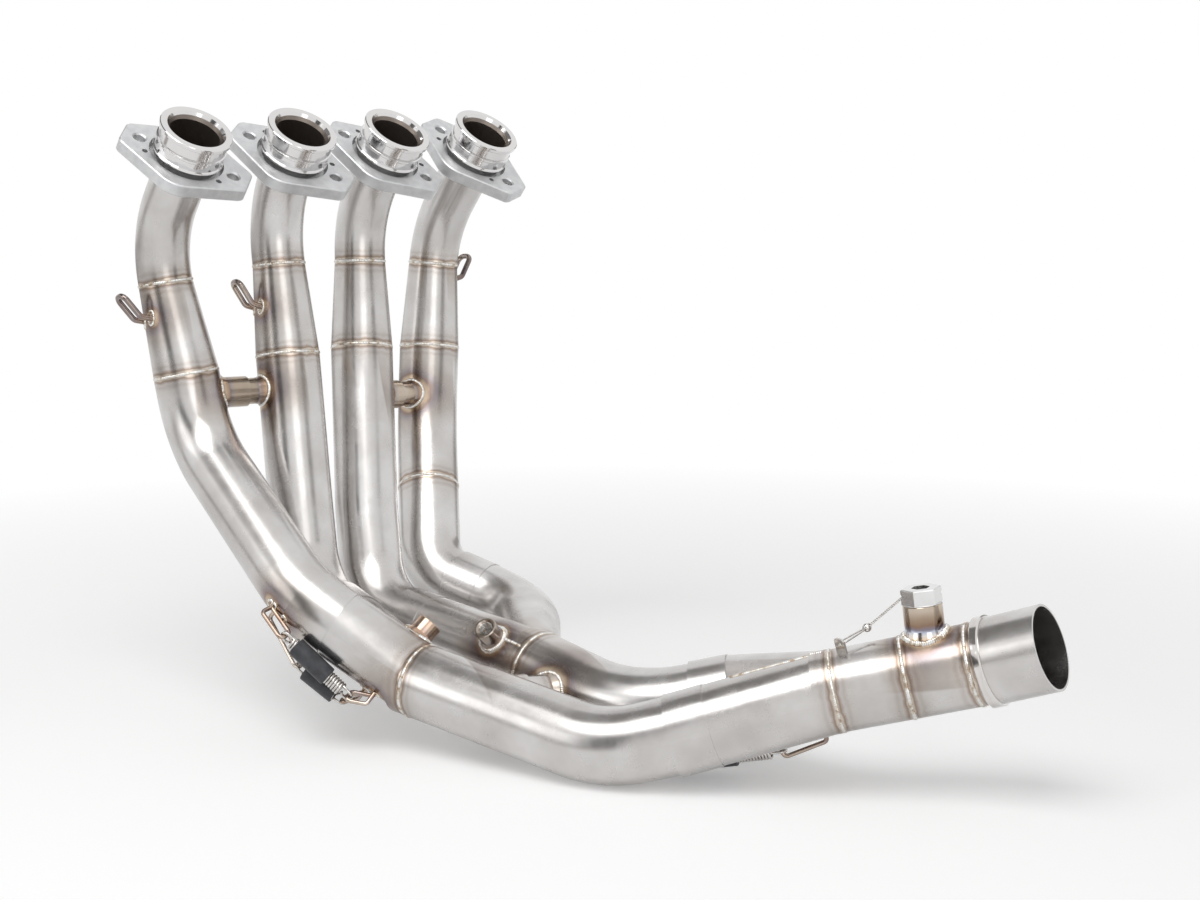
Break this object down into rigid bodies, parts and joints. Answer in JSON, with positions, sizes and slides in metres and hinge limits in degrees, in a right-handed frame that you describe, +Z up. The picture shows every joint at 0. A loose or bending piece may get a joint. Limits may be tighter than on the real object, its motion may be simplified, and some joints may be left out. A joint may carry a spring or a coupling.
{
  "type": "motorcycle exhaust header",
  "caption": "Motorcycle exhaust header: bent steel pipes with port flanges merge in pairs, then into one outlet spigot; slip joints held by springs.",
  "frame": {"origin": "middle of the collar lip of pipe 2, where the cylinder head holds the header", "axes": "+X to the rear (outlet side), +Y along the port row from pipe 1 to pipe 4, +Z up"},
  "size_m": [0.6204, 0.3299, 0.4258],
  "materials": {
    "brushed_tube": "satin",
    "polished_steel": "polished",
    "weld_metal": "gloss",
    "straw_tinted_steel": "satin",
    "tinted_rod": "satin",
    "spring_steel": "satin",
    "blasted_aluminium": "matt",
    "black_rubber": "matt"
  },
  "bodies": {
    "header": {"balance_sleeve_12": "straw_tinted_steel", "balance_sleeve_34": "brushed_tube", "balance_tube_12": "straw_tinted_steel", "balance_tube_34": "brushed_tube", "bung_plug": "straw_tinted_steel", "collector_weld_beads": "weld_metal", "cone_1": "brushed_tube", "cone_2": "brushed_tube", "cone_3": "brushed_tube", "cone_4": "brushed_tube", "crossover_sleeve": "brushed_tube", "crossover_tube": "brushed_tube", "far_bung": "straw_tinted_steel", "far_collector": "brushed_tube", "far_secondary": "brushed_tube", "final_collector": "brushed_tube", "front_bung": "straw_tinted_steel", "front_collector": "brushed_tube", "front_secondary": "brushed_tube", "hanger_hook_1": "tinted_rod", "hanger_hook_2": "tinted_rod", "hanger_hook_4": "tinted_rod", "inlet_collar_1": "polished_steel", "inlet_collar_2": "polished_steel", "inlet_collar_3": "polished_steel", "inlet_collar_4": "polished_steel", "lower_weld_beads": "weld_metal", "main_bung": "straw_tinted_steel", "main_tube": "brushed_tube", "outlet_ring": "polished_steel", "outlet_spigot": "brushed_tube", "primary_bend_4": "brushed_tube", "primary_tube_1": "brushed_tube", "primary_tube_2": "brushed_tube", "primary_tube_3": "brushed_tube", "primary_tube_4": "brushed_tube", "safety_wire": "spring_steel", "spring_final": "spring_steel", "spring_front_1": "spring_steel", "spring_front_2": "spring_steel", "spring_hooks_final": "tinted_rod", "spring_hooks_front_1": "tinted_rod", "spring_hooks_front_2": "tinted_rod", "spring_rubber_final": "black_rubber", "spring_rubber_front_1": "black_rubber", "spring_rubber_front_2": "black_rubber", "tail_tube": "brushed_tube", "upper_bend_1": "brushed_tube", "upper_bend_2": "brushed_tube", "upper_bend_3": "brushed_tube", "upper_bend_4": "brushed_tube", "upper_weld_beads": "weld_metal", "wire_crimp": "spring_steel", "wire_tab": "spring_steel"},
    "flange_1": {"port_flange_1": "blasted_aluminium"},
    "flange_2": {"port_flange_2": "blasted_aluminium"},
    "flange_3": {"port_flange_3": "blasted_aluminium"},
    "flange_4": {"port_flange_4": "blasted_aluminium"}
  },
  "joints": [
    {"name": "flange_1_turn", "type": "hinge", "parent": "header", "child": "flange_1", "pos_m": [-0.01737, -0.08592, -0.02193], "axis": [0.6077, -0.004, 0.7941], "range_deg": [-12, 12]},
    {"name": "flange_2_turn", "type": "hinge", "parent": "header", "child": "flange_2", "pos_m": [-0.01641, 0.00057, -0.02175], "axis": [0.6021, -0.021, 0.7981], "range_deg": [-12, 12]},
    {"name": "flange_3_turn", "type": "hinge", "parent": "header", "child": "flange_3", "pos_m": [-0.01639, 0.08237, -0.02143], "axis": [0.6155, 0.0383, 0.7872], "range_deg": [-12, 12]},
    {"name": "flange_4_turn", "type": "hinge", "parent": "header", "child": "flange_4", "pos_m": [-0.01488, 0.16596, -0.02166], "axis": [0.6185, 0.0456, 0.7845], "range_deg": [-12, 12]}
  ]
}
